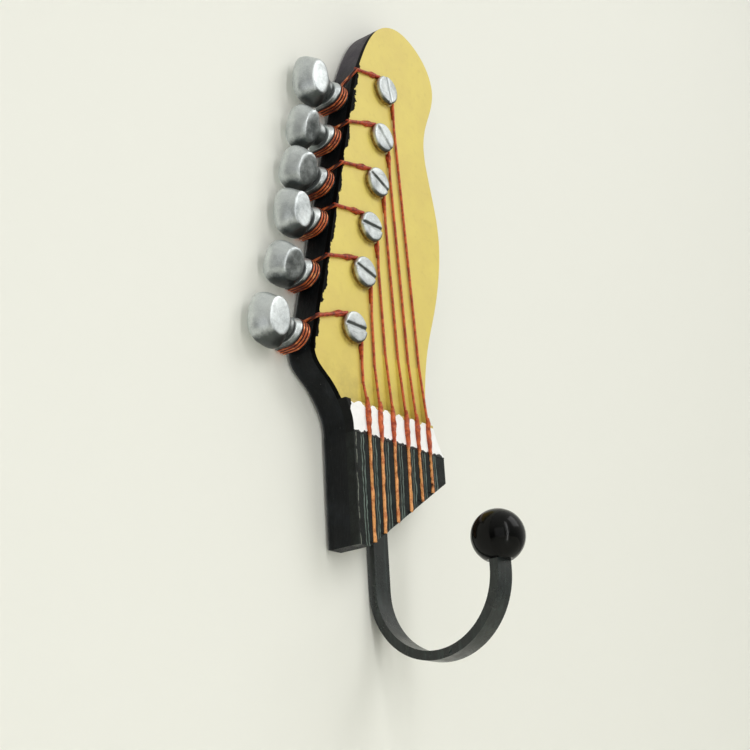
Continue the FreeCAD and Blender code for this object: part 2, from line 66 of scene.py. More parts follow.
NUT_LOW, NUT_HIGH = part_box("nut")
BOARD_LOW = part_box("fretboard")[0]
BODY_LOW, BODY_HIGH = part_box("headstock_body")
FACE_THICK = 2.0 * MM
FACE_FRONT = BODY_LOW.y - FACE_THICK
TOP_OF_NUT = NUT_HIGH.z
FOOT_OF_NUT = NUT_LOW.z

# The tuner side leans by this angle. EDGE_OUT points square out from it, and
# EDGE_PLACE is how far out that way the face reaches.
EDGE_LEAN = math.radians(14.9)
EDGE_OUT = Vector((-math.cos(EDGE_LEAN), 0, math.sin(EDGE_LEAN)))
EDGE_PLACE = max(p.dot(EDGE_OUT) for p in node_points("headstock_face"))
FIRST_TURN = 2.4 * MM      # middle of the first wire turn, out from the tuner side
TURN_PITCH = 1.45 * MM
BLACK_OVERLAP = 1.5 * MM   # how far the side's black paint comes over the face
POST_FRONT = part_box("string_post_1")[0].y
SCALLOP = 8 * MM           # width of a cream scallop over the nut's top edge
# Painted highlights: two pale lines between each two strings, this far from their middle.
HIGHLIGHT_SHIFTS = (-0.9 * MM, 0.5 * MM)   # the two pale lines between two strings


def post_centre(k):
    low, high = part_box(f"string_post_{k}")
    return Vector(((low.x + high.x) / 2, low.y, (low.z + high.z) / 2))


def paint():
    """The colours and strokes that the panel shows."""
    return bpy.context.scene.coathook_paint


def string_ends(k):
    """A string's top end, its place on the nut's upper edge and its lower end, on its own line."""
    points = node_points(f"string_{k}")
    ends = []
    for height in (max(p.z for p in points), TOP_OF_NUT, min(p.z for p in points)):
        near = sorted(points, key=lambda p: abs(p.z - height))[:10]
        ends.append(sum(near, Vector()) / len(near))
    return ends


# --- Materials ------------------------------------------------------------------

SMOOTH = {"interpolation_type": "SMOOTHSTEP"}
COLOURS = {"data_type": "RGBA"}
FRONTWARD = (0, -1, 0)
UPWARD = (0, 0, 1)
RIGHTWARD = (1, 0, 0)


def hex_colour(text):
    """An sRGB hex colour as linear RGBA."""
    channels = [int(text[i:i + 2], 16) / 255 for i in (0, 2, 4)]
    linear = [c / 12.92 if c <= 0.04045 else ((c + 0.055) / 1.055) ** 2.4 for c in channels]
    return (*linear, 1.0)


def add(tree, kind, inputs=None, **settings):
    """Adds a node with its settings and fills its inputs.

    An input is named, or numbered among the sockets in use. It takes a value,
    a hex colour, a socket to link, or a node, whose first output in use is linked.
    """
    node = tree.nodes.new("ShaderNode" + kind)
    for name, value in settings.items():
        setattr(node, name, value)
    in_use = [socket for socket in node.inputs if socket.enabled]
    for key, value in (inputs or {}).items():
        socket = in_use[key] if isinstance(key, int) else node.inputs[key]
        if isinstance(value, bpy.types.Node):
            value = next(output for output in value.outputs if output.enabled)
        if isinstance(value, bpy.types.NodeSocket):
            tree.links.new(value, socket)
        else:
            socket.default_value = hex_colour(value) if isinstance(value, str) else value
    return node


def start(name):
    """New material with an empty tree, and its Object coordinates."""
    material = bpy.data.materials.new(name)
    material.use_nodes = True
    tree = material.node_tree
    tree.nodes.clear()
    return material, tree, add(tree, "TexCoord").outputs["Object"]


def patches(tree, place, size, low, high, detail=3.0, floor=0.0, top=1.0):
    """Soft blotches about this many millimetres across, from floor to top."""
    grain = add(tree, "TexNoise", {"Vector": place, "Scale": 1 / (size * MM), "Detail": detail,
                                   "Roughness": 0.65})
    return add(tree, "MapRange", {0: grain, 1: low, 2: high, 3: floor, 4: top}, **SMOOTH)


def brush_marks(tree, place, size, height):
    """Normal of a coat whose marks are about this many millimetres wide and high."""
    grain = add(tree, "TexNoise", {"Vector": place, "Scale": 1 / (size * MM), "Detail": 4.0,
                                   "Roughness": 0.65})
    return add(tree, "Bump", {"Height": grain, "Distance": height * MM})


def facing(tree, way, low=0.45, high=0.75):
    """1 where the surface faces this way, 0 where it is turned from it."""
    normal = add(tree, "TexCoord").outputs["Normal"]
    turn = add(tree, "VectorMath", {0: normal, 1: way}, operation="DOT_PRODUCT")
    return add(tree, "MapRange", {0: turn, 1: low, 2: high}, **SMOOTH)


def thin_line(tree, value, centre, half_width):
    """1 on a painted line where the value meets the centre, fading out beside it."""
    off = add(tree, "Math", {0: value, 1: centre}, operation="SUBTRACT")
    size = add(tree, "Math", {0: off}, operation="ABSOLUTE")
    return add(tree, "MapRange", {0: size, 1: half_width * 0.4, 2: half_width, 3: 1.0, 4: 0.0}, **SMOOTH)


def brushed_black(tree, place):
    """Colour of the black side paint, greyer where the coat is thin."""
    thin = patches(tree, place, 14, 0.4, 0.75)
    return add(tree, "Mix", {0: thin, 1: paint().black, 2: "1b1f23"}, **COLOURS)


def satin_black():
    # Cast polyresin with brushed satin black paint: a soft grey sheen, brush
    # drag and painted glints, pale grey, on small pits.
    material, tree, place = start("Cast_resin_satin_black_paint")
    # Painted glints: pale grey spots where small pits catch the light.
    pit_glints = patches(tree, place, 1.3, 0.74, 0.8, 1.0, 0.0, 0.25)
    colour = add(tree, "Mix", {0: pit_glints, 1: brushed_black(tree, place), 2: "8d8f8c"}, **COLOURS)
    # Painted light: towards the tip the black is painted a paler violet grey.
    height = add(tree, "VectorMath", {0: place, 1: UPWARD}, operation="DOT_PRODUCT")
    tip = add(tree, "MapRange", {0: height, 1: BODY_HIGH.z - 45 * MM, 2: BODY_HIGH.z - 22 * MM,
                                 3: 0.0, 4: 0.8}, **SMOOTH)
    colour = add(tree, "Mix", {0: tip, 1: colour, 2: "4c4750"}, **COLOURS)
    drag = add(tree, "Mapping", {"Vector": place, "Scale": (1.0, 1.0, 0.2)})
    shader = add(tree, "BsdfPrincipled", {
        "Base Color": colour,
        "Roughness": patches(tree, place, 9, 0.3, 0.7, floor=0.42, top=0.62),
        "Specular IOR Level": 0.18,
        "Normal": brush_marks(tree, drag.outputs["Vector"], 0.9, 0.22)})
    add(tree, "OutputMaterial", {"Surface": shader})
    return material


def post_shade(tree, place):
    """Painted shade in brown, in a ring round the foot of each post, set a little down and to the left,
    as a share.
    """
    ring = 0.0
    for k in STRINGS:
        foot = post_centre(k) + Vector((-0.6 * MM, 0, -1.0 * MM))
        off = add(tree, "VectorMath", {0: place, 1: foot}, operation="DISTANCE")
        near = add(tree, "MapRange", {0: off, 1: 6.6 * MM, 2: 8.4 * MM, 3: 1.0, 4: 0.0}, **SMOOTH)
        ring = add(tree, "Math", {0: near, 1: ring}, operation="MAXIMUM")
    return add(tree, "Math", {0: ring, 1: patches(tree, place, 3.0, 0.3, 0.65, 5.0, 0.2, 0.75)},
               operation="MULTIPLY")


def black_overlap(tree, place):
    """1 where the side's black paint comes over the face's edge, in a ragged line."""
    outward = add(tree, "VectorMath", {0: place, 1: EDGE_OUT}, operation="DOT_PRODUCT")
    fine = patches(tree, place, 6.0, 0.2, 0.8, 3.0, -1.2 * MM, 1.2 * MM)
    coarse = patches(tree, place, 16, 0.25, 0.75, 1.0, -1.1 * MM, 1.1 * MM)
    ragged = add(tree, "Math", {0: fine, 1: coarse}, operation="ADD")
    reach = add(tree, "Math", {0: outward, 1: ragged}, operation="ADD")
    line = EDGE_PLACE - BLACK_OVERLAP
    over = add(tree, "MapRange", {0: reach, 1: line - 0.12 * MM, 2: line + 0.12 * MM}, **SMOOTH)
    depth = add(tree, "VectorMath", {0: place, 1: FRONTWARD}, operation="DOT_PRODUCT")
    behind = add(tree, "MapRange", {0: depth, 1: -FACE_FRONT - 0.06 * MM, 2: -FACE_FRONT - 0.02 * MM,
                                    3: 1.0, 4: 0.0}, **SMOOTH)
    turned = add(tree, "Math", {0: 1.0, 1: facing(tree, FRONTWARD)}, operation="SUBTRACT")
    side = add(tree, "Math", {0: turned, 1: behind}, operation="MULTIPLY")
    return add(tree, "Math", {0: over, 1: side}, operation="MAXIMUM")


def cream_face():
    # Cast polyresin, front hand-painted cream: nearly even, faintly mottled,
    # and its edge against the black side is ragged from the brush.
    material, tree, place = start("Cast_resin_cream_paint")
    broad = patches(tree, place, 22, 0.3, 0.7)
    cream = add(tree, "Mix", {0: broad, 1: paint().cream, 2: "dcc666"}, **COLOURS)
    mottle = patches(tree, place, 3.5, 0.5, 0.8, floor=0.0, top=0.3)
    cream = add(tree, "Mix", {0: mottle, 1: cream, 2: "c6ae58"}, **COLOURS)
    # Painted shade: darker, greener cream between the strings just above the nut.
    height = add(tree, "VectorMath", {0: place, 1: UPWARD}, operation="DOT_PRODUCT")
    low = add(tree, "MapRange", {0: height, 1: TOP_OF_NUT, 2: TOP_OF_NUT + 24 * MM,
                                 3: 0.6, 4: 0.0}, **SMOOTH)
    pool = add(tree, "Math", {0: low, 1: patches(tree, place, 6, 0.2, 0.8)}, operation="MULTIPLY")
    cream = add(tree, "Mix", {0: pool, 1: cream, 2: "a8944a"}, **COLOURS)
    # Painted shade: brown round the foot of each post.
    cream = add(tree, "Mix", {0: post_shade(tree, place), 1: cream, 2: "8c7030"}, **COLOURS)
    covered = black_overlap(tree, place)
    colour = add(tree, "Mix", {0: covered, 1: cream, 2: "050606"}, **COLOURS)
    shader = add(tree, "BsdfPrincipled", {
        "Base Color": colour,
        "Roughness": add(tree, "MapRange", {0: covered, 3: 0.42, 4: 0.6}),
        "Specular IOR Level": add(tree, "MapRange", {0: covered, 3: 0.45, 4: 0.06}),
        "Normal": brush_marks(tree, place, 2.5, 0.12)})
    add(tree, "OutputMaterial", {"Surface": shader})
    return material


def ribbed_board():
    # Fretboard stub in green-black paint, with painted highlights: thin grey-green
    # lines between the ribs and a broken pale line at its bass edge.
    material, tree, place = start("Cast_resin_green_black_paint")
    broad = patches(tree, place, 5, 0.35, 0.7)
    colour = add(tree, "Mix", {0: broad, 1: paint().board, 2: "1a201e"}, **COLOURS)
    x = add(tree, "VectorMath", {0: place, 1: RIGHTWARD}, operation="DOT_PRODUCT")
    z = add(tree, "VectorMath", {0: place, 1: UPWARD}, operation="DOT_PRODUCT")
    wobble = patches(tree, place, 9, 0.2, 0.8, 2.0, -0.5 * MM, 0.5 * MM)
    x = add(tree, "Math", {0: x, 1: wobble}, operation="ADD")
    # Painted highlight lines stand between each two strings, and outside the first and the last.
    ends = [string_ends(k) for k in STRINGS]
    beside_first = [2 * here - there for here, there in zip(ends[0], ends[1])]
    beside_last = [2 * here - there for here, there in zip(ends[-1], ends[-2])]
    ends = [beside_first, *ends, beside_last]
    lines = 0.0
    for (_, nut_a, low_a), (_, nut_b, low_b) in zip(ends, ends[1:]):
        slope_a = (low_a.x - nut_a.x) / (low_a.z - nut_a.z)
        slope_b = (low_b.x - nut_b.x) / (low_b.z - nut_b.z)
        slope = (slope_a + slope_b) / 2
        straight = add(tree, "Math", {0: z, 1: -slope, 2: x}, operation="MULTIPLY_ADD")
        for shift in HIGHLIGHT_SHIFTS:
            middle = (nut_a.x + nut_b.x) / 2 - TOP_OF_NUT * slope + shift
            line = thin_line(tree, straight, middle, 0.35 * MM)
            lines = add(tree, "Math", {0: line, 1: lines}, operation="MAXIMUM")
    broken = patches(tree, place, 4, 0.3, 0.6, 5.0, 0.2, 0.9)
    lines = add(tree, "Math", {0: lines, 1: broken}, operation="MULTIPLY")
    lines = add(tree, "Math", {0: lines, 1: facing(tree, FRONTWARD, 0.3, 0.6)}, operation="MULTIPLY")
    colour = add(tree, "Mix", {0: lines, 1: colour, 2: "72837b"}, **COLOURS)
    # Painted highlight: a broken pale line along the bass edge.
    edge_highlight = thin_line(tree, x, BOARD_LOW.x + 1.1 * MM, 0.3 * MM)
    rubbed = patches(tree, place, 5, 0.42, 0.55, 4.0, 0.0, 0.7)
    worn = add(tree, "Math", {0: edge_highlight, 1: rubbed}, operation="MULTIPLY")
    colour = add(tree, "Mix", {0: worn, 1: colour, 2: "8f9488"}, **COLOURS)
    shader = add(tree, "BsdfPrincipled", {
        "Base Color": colour,
        "Roughness": patches(tree, place, 3, 0.3, 0.7, floor=0.34, top=0.52),
        "Specular IOR Level": 0.2,
        "Normal": brush_marks(tree, place, 1.6, 0.2)})
    add(tree, "OutputMaterial", {"Surface": shader})
    return material


def white_nut():
    # Nut block in thick white paint; cream scallops lap over its top edge and
    # black side paint covers its bass end.
    material, tree, place = start("Cast_resin_white_paint")
    broad = patches(tree, place, 5, 0.4, 0.8)
    white = add(tree, "Mix", {0: broad, 1: paint().white, 2: "f1f2ee"}, **COLOURS)
    z = add(tree, "VectorMath", {0: place, 1: UPWARD}, operation="DOT_PRODUCT")
    x = add(tree, "VectorMath", {0: place, 1: RIGHTWARD}, operation="DOT_PRODUCT")
    ragged = patches(tree, place, 3, 0.2, 0.8, 4.0, 0.0, 1.6 * MM)
    turns = add(tree, "Math", {0: x, 1: math.pi / SCALLOP}, operation="MULTIPLY")
    wave = add(tree, "Math", {0: add(tree, "Math", {0: turns}, operation="SINE")}, operation="ABSOLUTE")
    reach = add(tree, "Math", {0: wave, 1: 2.2 * MM, 2: ragged}, operation="MULTIPLY_ADD")
    top = add(tree, "Math", {0: z, 1: reach}, operation="ADD")
    lap = TOP_OF_NUT + 1.6 * MM
    lapped = add(tree, "MapRange", {0: top, 1: lap - 0.1 * MM, 2: lap + 0.1 * MM}, **SMOOTH)
    colour = add(tree, "Mix", {0: lapped, 1: white, 2: "c9b264"}, **COLOURS)
    low = add(tree, "Math", {0: z, 1: ragged}, operation="SUBTRACT")
    foot = add(tree, "MapRange", {0: low, 1: FOOT_OF_NUT + 0.1 * MM, 2: FOOT_OF_NUT + 0.3 * MM,
                                  3: 1.0, 4: 0.0}, **SMOOTH)
    colour = add(tree, "Mix", {0: foot, 1: colour, 2: "141817"}, **COLOURS)
    end = add(tree, "Math", {0: x, 1: ragged}, operation="SUBTRACT")
    bass = add(tree, "MapRange", {0: end, 1: NUT_LOW.x + 2.1 * MM, 2: NUT_LOW.x + 2.3 * MM,
                                  3: 1.0, 4: 0.0}, **SMOOTH)
    turned = add(tree, "Math", {0: 1.0, 1: facing(tree, FRONTWARD)}, operation="SUBTRACT")
    side = add(tree, "Math", {0: bass, 1: turned}, operation="MAXIMUM")
    colour = add(tree, "Mix", {0: side, 1: colour, 2: "0b0d0e"}, **COLOURS)
    shader = add(tree, "BsdfPrincipled", {
        "Base Color": colour,
        "Roughness": 0.45,
        "Specular IOR Level": add(tree, "MapRange", {0: side, 3: 0.5, 4: 0.15}),
        "Normal": brush_marks(tree, place, 2.4, 0.25)})
    add(tree, "OutputMaterial", {"Surface": shader})
    return material


def silver_coat(tree, place):
    """Colour of brushed silver paint, with fine flake, and painted shade underneath."""
    thin = patches(tree, place, 9.0, 0.3, 0.75, 5.0)
    silver = add(tree, "Mix", {0: thin, 1: paint().silver, 2: "a9afb1"}, **COLOURS)
    flake = patches(tree, place, 0.45, 0.35, 0.75, 1.0, 0.0, 0.25)
    silver = add(tree, "Mix", {0: flake, 1: silver, 2: "f2f5f4"}, **COLOURS)
    smudge = patches(tree, place, 5.0, 0.66, 0.8, 5.0, 0.0, 0.45)
    silver = add(tree, "Mix", {0: smudge, 1: silver, 2: "565b5a"}, **COLOURS)
    # Painted shade: surfaces turned downwards are painted dark grey.
    turn = facing(tree, (0.45, -0.2, -0.87), -0.2, 0.95)
    uneven = patches(tree, place, 5.0, 0.2, 0.8, 4.0, 0.0, 0.4)
    toward_underside = add(tree, "Math", {0: turn, 1: uneven}, operation="ADD")
    underside_shade = add(tree, "MapRange", {0: toward_underside, 1: 0.35, 2: 1.0, 3: 0.0, 4: 0.9}, **SMOOTH)
    return add(tree, "Mix", {0: underside_shade, 1: silver, 2: "2e3332"}, **COLOURS)


def silver_pegs():
    # Metallic silver paint on cast zinc buttons: smooth and bright on top, with
    # brush marks, and painted shade underneath.
    material, tree, place = start("Cast_zinc_silver_paint")
    shader = add(tree, "BsdfPrincipled", {
        "Base Color": silver_coat(tree, place),
        "Metallic": 0.8,
        "Roughness": patches(tree, place, 4, 0.3, 0.7, floor=0.3, top=0.4),
        "Normal": brush_marks(tree, place, 2.6, 0.12)})
    add(tree, "OutputMaterial", {"Surface": shader})
    return material


def silver_posts():
    # The posts' fronts have the same silver, rubbed in fine lines; dirty gold
    # paint has run round their sides.
    material, tree, place = start("Cast_resin_silver_and_gold_paint")
    silver = silver_coat(tree, place)
    rubbed = add(tree, "Mapping", {"Vector": place, "Scale": (0.25, 1.0, 1.0)})
    lines = patches(tree, rubbed.outputs["Vector"], 1.2, 0.58, 0.66, 4.0, 0.0, 0.4)
    silver = add(tree, "Mix", {0: lines, 1: silver, 2: "6f7472"}, **COLOURS)
    dirt = patches(tree, place, 2.2, 0.35, 0.6, 4.0)
    gold = add(tree, "Mix", {0: dirt, 1: "c0a35c", 2: "7d632c"}, **COLOURS)
    depth = add(tree, "VectorMath", {0: place, 1: FRONTWARD}, operation="DOT_PRODUCT")
    below = add(tree, "MapRange", {0: depth, 1: -POST_FRONT - 1.9 * MM, 2: -POST_FRONT - 1.1 * MM,
                                   3: 0.95, 4: 0.0}, **SMOOTH)
    shader = add(tree, "BsdfPrincipled", {
        "Base Color": add(tree, "Mix", {0: below, 1: silver, 2: gold}, **COLOURS),
        "Metallic": 0.7,
        "Roughness": patches(tree, place, 4, 0.3, 0.7, floor=0.3, top=0.42),
        "Normal": brush_marks(tree, place, 1.8, 0.12)})
    add(tree, "OutputMaterial", {"Surface": shader})
    return material


def winding_paint():
    # Copper-red paint over wire turns: a painted highlight of bright orange on each
    # crown, painted shade of nearly black-red in the grooves, and plain dark red along the lead.
    material, tree, place = start("Copper_paint_windings")
    out = add(tree, "VectorMath", {0: place, 1: EDGE_OUT}, operation="DOT_PRODUCT")
    outward = add(tree, "Math", {0: out, 1: EDGE_PLACE + FIRST_TURN}, operation="SUBTRACT")
    phase = add(tree, "Math", {0: outward, 1: 2 * math.pi / TURN_PITCH}, operation="MULTIPLY")
    wave = add(tree, "Math", {0: phase}, operation="COSINE")
    crest = add(tree, "Math", {0: wave, 1: patches(tree, place, 3.0, 0.2, 0.8, 4.0)}, operation="ADD")
    crown_highlight = add(tree, "MapRange", {0: crest, 1: -0.1, 2: 1.4}, **SMOOTH)
    colour = add(tree, "Mix", {0: crown_highlight, 1: "3a110c", 2: "c05c2a"}, **COLOURS)
    # Painted glints on the crowns.
    glint = patches(tree, place, 2.6, 0.5, 0.68, 4.0)
    bright = add(tree, "Math", {0: crown_highlight, 1: glint}, operation="MULTIPLY")
    colour = add(tree, "Mix", {0: bright, 1: colour, 2: "f6aa70"}, **COLOURS)
    pool = patches(tree, place, 4.5, 0.5, 0.64, 4.0, 0.0, 0.8)
    colour = add(tree, "Mix", {0: pool, 1: colour, 2: "55190f"}, **COLOURS)
    lead = add(tree, "MapRange", {0: outward, 1: -2.0 * MM, 2: -0.9 * MM, 3: 1.0, 4: 0.0}, **SMOOTH)
    drag = patches(tree, place, 1.6, 0.4, 0.65, 4.0)
    streaks = add(tree, "Mix", {0: drag, 1: "b4411f", 2: "6b1e10"}, **COLOURS)
    colour = add(tree, "Mix", {0: lead, 1: colour, 2: streaks}, **COLOURS)
    shader = add(tree, "BsdfPrincipled", {
        "Base Color": colour,
        "Metallic": 0.3,
        "Roughness": 0.3,
        "Normal": brush_marks(tree, place, 1.2, 0.2)})
    add(tree, "OutputMaterial", {"Surface": shader})
    return material


def lead_paint():
    # The same copper-red, hand-brushed: bright where it is thin over the crown
    # and dark red where it pools.
    material, tree, place = start("Copper_paint_leads")
    drag = patches(tree, place, 1.5, 0.38, 0.62, 5.0)
    colour = add(tree, "Mix", {0: drag, 1: "c24a22", 2: "8c2c14"}, **COLOURS)
    pool = patches(tree, place, 2.6, 0.5, 0.64, 4.0, 0.0, 0.8)
    shader = add(tree, "BsdfPrincipled", {
        "Base Color": add(tree, "Mix", {0: pool, 1: colour, 2: "5e1b10"}, **COLOURS),
        "Metallic": 0.15,
        "Roughness": 0.36,
        "Normal": brush_marks(tree, place, 0.9, 0.25)})
    add(tree, "OutputMaterial", {"Surface": shader})
    return material


def string_paint():
    # One brush did every string: copper-red over the cream, thick on the nut,
    # and orange-gold over the dark fretboard.
    material, tree, place = start("Copper_paint_strings")
    dark = patches(tree, place, 2.0, 0.4, 0.62, 5.0)
    head = add(tree, "Mix", {0: dark, 1: paint().copper, 2: "98361a"}, **COLOURS)
    dull = patches(tree, place, 2.2, 0.42, 0.66, 5.0)
    board = add(tree, "Mix", {0: dull, 1: paint().gold, 2: "b8622c"}, **COLOURS)
    height = add(tree, "VectorMath", {0: place, 1: UPWARD}, operation="DOT_PRODUCT")
    below = add(tree, "MapRange", {0: height, 1: FOOT_OF_NUT - 2 * MM, 2: FOOT_OF_NUT + 1 * MM,
                                   3: 1.0, 4: 0.0}, **SMOOTH)
    shader = add(tree, "BsdfPrincipled", {
        "Base Color": add(tree, "Mix", {0: below, 1: head, 2: board}, **COLOURS),
        "Metallic": 0.15,
        "Roughness": 0.36,
        "Normal": brush_marks(tree, place, 1.0, 0.2)})
    add(tree, "OutputMaterial", {"Surface": shader})
    return material


def black_enamel():
    # Flat mild steel bar in black enamel: glossy, with faint roll lines along
    # it and a green-grey bloom.
    material, tree, place = start("Steel_black_enamel")
    rolled = add(tree, "Mapping", {"Vector": place, "Scale": (1.0, 1.0, 0.06)})
    lines = patches(tree, rolled.outputs["Vector"], 1.6, 0.45, 0.75, 4.0)
    shader = add(tree, "BsdfPrincipled", {
        "Base Color": add(tree, "Mix", {0: lines, 1: "101817", 2: "26312f"}, **COLOURS),
        "Roughness": patches(tree, place, 7, 0.3, 0.7, floor=0.22, top=0.4),
        "Normal": brush_marks(tree, place, 3.0, 0.12)})
    add(tree, "OutputMaterial", {"Surface": shader})
    return material


def gloss_ball():
    # Moulded phenolic ball: deep gloss black with fine handling haze.
    material, tree, place = start("Phenolic_gloss_black")
    haze = patches(tree, place, 6, 0.4, 0.8)
    shader = add(tree, "BsdfPrincipled", {
        "Base Color": add(tree, "Mix", {0: haze, 1: "030303", 2: "090a09"}, **COLOURS),
        "Roughness": patches(tree, place, 2.5, 0.45, 0.8, 5.0, 0.14, 0.24),
        "Specular IOR Level": 0.16,
        "Normal": brush_marks(tree, place, 4.0, 0.05)})
    add(tree, "OutputMaterial", {"Surface": shader})
    return material


def zinc_plate():
    # Zinc-plated steel: cloudy bluish spangle with fine rolled scratches.
    material, tree, place = start("Zinc_plated_steel")
    cells = add(tree, "TexVoronoi", {"Vector": place, "Scale": 1 / (2.5 * MM)})
    shade = add(tree, "RGBToBW", {"Color": cells.outputs["Color"]})
    spangle = add(tree, "Mix", {0: shade, 1: "a9adab", 2: "c6c8c2"}, **COLOURS)
    tarnish = patches(tree, place, 4, 0.5, 0.8, floor=0.0, top=0.4)
    shader = add(tree, "BsdfPrincipled", {
        "Base Color": add(tree, "Mix", {0: tarnish, 1: spangle, 2: "8d8a78"}, **COLOURS),
        "Metallic": 1.0,
        "Roughness": add(tree, "MapRange", {0: shade, 3: 0.3, 4: 0.45}),
        "Normal": brush_marks(tree, place, 0.8, 0.03)})
    add(tree, "OutputMaterial", {"Surface": shader})
    return material


def ground_steel():
    # Ground steel pins and shafts: bright, with fine grinding lines.
    material, tree, place = start("Ground_steel")
    worn = patches(tree, place, 2.0, 0.4, 0.7, 5.0)
    shader = add(tree, "BsdfPrincipled", {
        "Base Color": add(tree, "Mix", {0: worn, 1: "c2c4c4", 2: "9b9d9c"}, **COLOURS),
        "Metallic": 1.0,
        "Roughness": 0.3,
        "Normal": brush_marks(tree, place, 0.6, 0.02)})
    add(tree, "OutputMaterial", {"Surface": shader})
    return material


def paint_node(name, material):
    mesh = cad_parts[name].data
    mesh.materials.clear()
    mesh.materials.append(material)


# --- Meshes ---------------------------------------------------------------------------

def swept(stations, sides=12):
    """Tube of oval sections. A station is its centre, its half width across and its half height out."""
    mesh = bmesh.new()
    made = bmesh.ops.create_circle(mesh, cap_ends=True, segments=sides, radius=1.0)
    cap = made["verts"][0].link_faces[0]
    ring = list(cap.verts)
    previous = Matrix.Identity(4)
    for index, (centre, across, out) in enumerate(stations):
        before = stations[max(index - 1, 0)][0]
        after = stations[min(index + 1, len(stations) - 1)][0]
        way = (after - before).normalized()
        side = way.cross(Vector((0, -1, 0))).normalized()
        rise = side.cross(way).normalized()
        frame_here = Matrix((side * across, rise * out, way)).transposed().to_4x4()
        frame_here.translation = centre
        if index:
            grown = bmesh.ops.extrude_face_region(mesh, geom=[cap])
            cap = next(g for g in grown["geom"] if isinstance(g, bmesh.types.BMFace))
            ring = list(cap.verts)
        bmesh.ops.transform(mesh, matrix=frame_here @ previous.inverted(), verts=ring)
        previous = frame_here
    bmesh.ops.recalc_face_normals(mesh, faces=mesh.faces)
    return mesh


def finish_piece(mesh, name, material, smooth=True):
    """Object from a bmesh, in the frame's own coordinates, riding on the headstock."""
    data = bpy.data.meshes.new(name)
    mesh.to_mesh(data)
    mesh.free()
    data.materials.append(material)
    for face in data.polygons:
        face.use_smooth = smooth
    piece = bpy.data.objects.new(name, data)
    bpy.context.scene.collection.objects.link(piece)
    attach(piece, BODY)


def wander(k, step, size):
    """Small unevenness of a brush stroke, the same on every run."""
    return size * (math.sin(2.3 * step + 1.7 * k) * 0.6 + math.sin(0.9 * step + 2.9 * k) * 0.4)


BUTTON_PASSES = (60, 80, 80, 12, 50, 12)   # smoothing passes: more make softer edges
BUTTON_VOXEL = 0.4 * MM
COLLAR_PASSES = 3
COLLAR_VOXEL = 0.25 * MM
POST_PASSES = 44
POST_VOXEL = 0.2 * MM
NUT_STEPS = 8              # sections of a stroke over the nut
BOARD_STEPS = 19           # sections of a stroke down the board
LEAD_STEPS = 12
RIB_STEPS = 40
RIB_SIDES = 48
STROKE_RISE = 0.95 * MM    # half height of a stroke on the nut
LINE_RISE = 0.66 * MM      # half height of a stroke on the board
LEAD_RISE = 0.7 * MM
RIB_RISE = 0.75 * MM
BLOB_SHARES = (0.45, 1.0, 0.6, 0.85, 0.4, 0.7)   # size of the blob below each post
BLOB_RISE = 1.1 * MM       # half height of a blob at its widest
LEAST_BLOB = 0.45 * MM     # half width of a blob at its ends
BLOB_START = 1.6 * MM      # from a string's top end to where its blob is measured from
# Millimetres past that place, and the share of the blob's half width there.
BLOB_SHAPE = ((-1.0, 0.3), (-0.4, 0.75), (0.6, 1.0), (2.0, 0.9), (3.6, 0.5), (5.4, 0.35))


def point_between(a, b, share):
    return a + (b - a) * share


# --- Settings -----------------------------------------------------------------------------

def colour_property(name, description, text):
    return FloatVectorProperty(name=name, description=description, subtype="COLOR", size=4,
                               default=hex_colour(text), min=0.0, max=1.0)


def width_property(name, description, width):
    return FloatProperty(name=name, description=description, default=width, unit="LENGTH",
                         precision=5)


class PaintSettings(bpy.types.PropertyGroup):
    cream: colour_property("Cream", "Paint of the head's face", "e2ce68")
    black: colour_property("Black", "Paint of the sides", "0b0e11")
    board: colour_property("Fretboard", "Paint of the fretboard", "0d1110")
    white: colour_property("White", "Paint of the nut", "ffffff")
    silver: colour_property("Silver", "Paint of the pegs and posts", "d0d5d5")
    copper: colour_property("Copper red", "Paint of the strings over the head", "d0622c")
    gold: colour_property("Orange gold", "Paint of the strings over the fretboard", "eaa460")
    stroke: width_property("Stroke on the head", "Half width of a painted lead", 0.62 * MM)
    nut_stroke: width_property("Stroke on the nut", "Half width of a painted string", 1.35 * MM)
    blob: width_property("Blob", "Half width of the blob of paint by a post", 1.35 * MM)
    rib: width_property("Rib", "Half width of a rib on the fretboard", 3.3 * MM)


def power_property(name, description, watts):
    return FloatProperty(name=name, description=description, default=watts, unit="POWER")


class StageSettings(bpy.types.PropertyGroup):
    wall: colour_property("Wall", "Colour of the wall paint", "f0f0e9")
    key: power_property("Key light", "Power of the main soft light", 2.5)
    fill: power_property("Fill light", "Power of the fill light", 1.05)
    strip: power_property("Strip light", "Power of the tall narrow light in front", 2.7)


# --- Operators -----------------------------------------------------------------------------

class COATHOOK_OT_casting(bpy.types.Operator):
    """Paint the casting, its face, its fretboard and its nut"""
    bl_idname = "coathook.casting"
    bl_label = "Paint the casting"

    def execute(self, context):
        paint_node("headstock_body", satin_black())
        paint_node("headstock_face", cream_face())
        paint_node("fretboard", ribbed_board())
        paint_node("nut", white_nut())
        return {"FINISHED"}


def cast_copy(node, body, name, material, voxel, passes):
    """Copy of a CAD node with its edges softened, as a sand casting's are; it stands for the node."""
    mesh = bmesh.new()
    mesh.from_mesh(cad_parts[node].data)
    bmesh.ops.remove_doubles(mesh, verts=mesh.verts, dist=0.001 * MM)
    data = bpy.data.meshes.new(name)
    mesh.to_mesh(data)
    mesh.free()
    data.materials.append(material)
    piece = bpy.data.objects.new(name, data)
    bpy.context.scene.collection.objects.link(piece)
    rebuilt = piece.modifiers.new("even_mesh", "REMESH")
    rebuilt.mode = "VOXEL"
    rebuilt.voxel_size = voxel
    softened = piece.modifiers.new("softened", "SMOOTH")
    softened.factor = 0.5
    softened.iterations = passes
    shown = piece.evaluated_get(bpy.context.evaluated_depsgraph_get())
    smooth = bpy.data.meshes.new_from_object(shown)
    piece.modifiers.clear()
    piece.data = smooth
    for face in smooth.polygons:
        face.use_smooth = True
    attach(piece, body)
    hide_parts(node)


